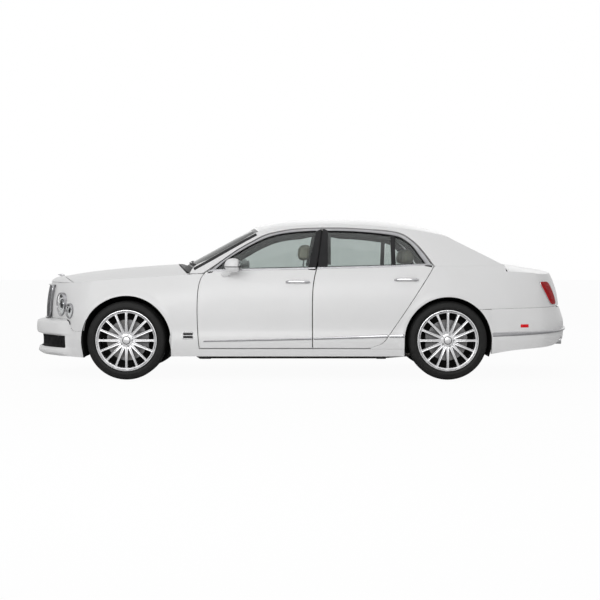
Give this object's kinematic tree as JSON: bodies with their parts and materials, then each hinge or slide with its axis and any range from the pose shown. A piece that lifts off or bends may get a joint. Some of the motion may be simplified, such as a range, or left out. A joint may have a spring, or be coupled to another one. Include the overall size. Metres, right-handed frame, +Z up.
{
  "type": "luxury sedan car",
  "caption": "White four-door luxury sedan with opening doors, bonnet and boot lid, steered front wheels and multi-spoke alloy wheels.",
  "frame": {"origin": "bottom centre of the bounding box, on the ground", "axes": "+Z up, -X towards the nose, -Y towards the left side"},
  "size_m": [5.4255, 2.2428, 1.5863],
  "materials": {
    "white_paint": "gloss",
    "dark_steel": "satin",
    "black_plastic": "matte",
    "dark_chrome": "polished",
    "chrome": "polished",
    "red_lens": "gloss",
    "glass": "clear",
    "dark_leather": "matte",
    "cream_leather": "matte",
    "cast_metal": "cast",
    "exhaust_steel": "satin",
    "plate": "painted",
    "tyre": "matte",
    "rim_alloy": "polished",
    "brake_iron": "machined"
  },
  "bodies": {
    "body": {"floor_pan": "dark_steel", "boot_floor": "dark_steel", "sills": "white_paint", "door_hinges": "dark_steel", "wheel_houses": "black_plastic", "side_frames": "white_paint", "roof_panel": "white_paint", "rear_quarters": "white_paint", "front_wings": "white_paint", "nose_panel": "white_paint", "cowl_panel": "black_plastic", "front_bumper": "white_paint", "rear_bumper": "white_paint", "radiator_grille": "dark_chrome", "intake_grille": "black_plastic", "headlamps": "chrome", "tail_lamps": "red_lens", "windscreen": "glass", "rear_window": "glass", "dashboard": "dark_leather", "steering_wheel": "dark_leather", "front_seats": "cream_leather", "rear_seat": "cream_leather", "engine_block": "cast_metal", "front_subframe": "dark_steel", "rear_subframe": "dark_steel", "rear_knuckles": "dark_steel", "exhaust": "exhaust_steel", "number_plate": "plate"},
    "bonnet": {"bonnet": "white_paint"},
    "boot_lid": {"boot_lid": "white_paint"},
    "front_door_left": {"front_door_left": "white_paint", "front_glass_left": "glass", "front_handle_left": "chrome", "mirror_left": "white_paint"},
    "front_door_right": {"front_door_right": "white_paint", "front_glass_right": "glass", "front_handle_right": "chrome", "mirror_right": "white_paint"},
    "rear_door_left": {"rear_door_left": "white_paint", "rear_glass_left": "glass", "rear_handle_left": "chrome"},
    "rear_door_right": {"rear_door_right": "white_paint", "rear_glass_right": "glass", "rear_handle_right": "chrome"},
    "knuckle_fl": {"front_knuckle_left": "dark_steel"},
    "knuckle_fr": {"front_knuckle_right": "dark_steel"},
    "wheel_fl": {"tyre_fl": "tyre", "rim_fl": "rim_alloy", "hub_fl": "brake_iron"},
    "wheel_fr": {"tyre_fr": "tyre", "rim_fr": "rim_alloy", "hub_fr": "brake_iron"},
    "wheel_rl": {"tyre_rl": "tyre", "rim_rl": "rim_alloy", "hub_rl": "brake_iron"},
    "wheel_rr": {"tyre_rr": "tyre", "rim_rr": "rim_alloy", "hub_rr": "brake_iron"}
  },
  "joints": [
    {"name": "front_door_left_hinge", "type": "hinge", "parent": "body", "child": "front_door_left", "pos_m": [-0.986, -0.93342, 0.7], "axis": [0, 0, -1], "range_deg": [0, 66]},
    {"name": "front_door_right_hinge", "type": "hinge", "parent": "body", "child": "front_door_right", "pos_m": [-0.986, 0.93342, 0.7], "axis": [0, 0, 1], "range_deg": [0, 66]},
    {"name": "rear_door_left_hinge", "type": "hinge", "parent": "body", "child": "rear_door_left", "pos_m": [0.13538, -0.93683, 0.7], "axis": [0, 0, -1], "range_deg": [0, 66]},
    {"name": "rear_door_right_hinge", "type": "hinge", "parent": "body", "child": "rear_door_right", "pos_m": [0.13538, 0.93683, 0.7], "axis": [0, 0, 1], "range_deg": [0, 66]},
    {"name": "bonnet_hinge", "type": "hinge", "parent": "body", "child": "bonnet", "pos_m": [-1.087, 0, 1.027], "axis": [0, 1, 0], "range_deg": [0, 58]},
    {"name": "boot_lid_hinge", "type": "hinge", "parent": "body", "child": "boot_lid", "pos_m": [1.884, 0, 1.066], "axis": [0, -1, 0], "range_deg": [0, 70]},
    {"name": "steer_left", "type": "hinge", "parent": "body", "child": "knuckle_fl", "pos_m": [-1.702, -0.748, 0.385], "axis": [0, 0, 1], "range_deg": [-33, 33]},
    {"name": "steer_right", "type": "hinge", "parent": "body", "child": "knuckle_fr", "pos_m": [-1.702, 0.748, 0.385], "axis": [0, 0, 1], "range_deg": [-33, 33]},
    {"name": "spin_fl", "type": "hinge", "parent": "knuckle_fl", "child": "wheel_fl", "pos_m": [-1.702, -0.81, 0.385], "axis": [0, 1, 0], "continuous": true},
    {"name": "spin_fr", "type": "hinge", "parent": "knuckle_fr", "child": "wheel_fr", "pos_m": [-1.702, 0.81, 0.385], "axis": [0, 1, 0], "continuous": true},
    {"name": "spin_rl", "type": "hinge", "parent": "body", "child": "wheel_rl", "pos_m": [1.434, -0.823, 0.385], "axis": [0, 1, 0], "continuous": true},
    {"name": "spin_rr", "type": "hinge", "parent": "body", "child": "wheel_rr", "pos_m": [1.434, 0.823, 0.385], "axis": [0, 1, 0], "continuous": true}
  ],
  "couplings": [
    {"joint": "steer_right", "follows": "steer_left", "ratio": 1}
  ]
}
